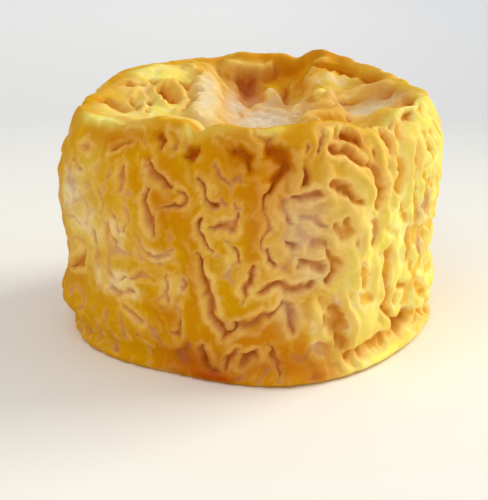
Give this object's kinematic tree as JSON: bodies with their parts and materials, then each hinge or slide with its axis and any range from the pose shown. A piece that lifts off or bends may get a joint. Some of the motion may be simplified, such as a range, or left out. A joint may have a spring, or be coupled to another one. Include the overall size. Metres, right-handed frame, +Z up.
{
  "type": "soft cheese wheel",
  "caption": "Small whole soft cheese: a round drum with a deeply wrinkled orange-yellow washed rind, a rolled rim and a sunken top.",
  "frame": {"origin": "centre of the outline's box, on the flat base", "axes": "+Z up out of the sunken top, -Y towards the front, the side with the deepest creases"},
  "size_m": [0.09, 0.089, 0.0583],
  "materials": {
    "rind": "moist satin wrinkled rind, ochre and orange with pale peach bloom in the creases"
  },
  "bodies": {
    "root": {"cheese_wheel": "rind"}
  },
  "joints": []
}
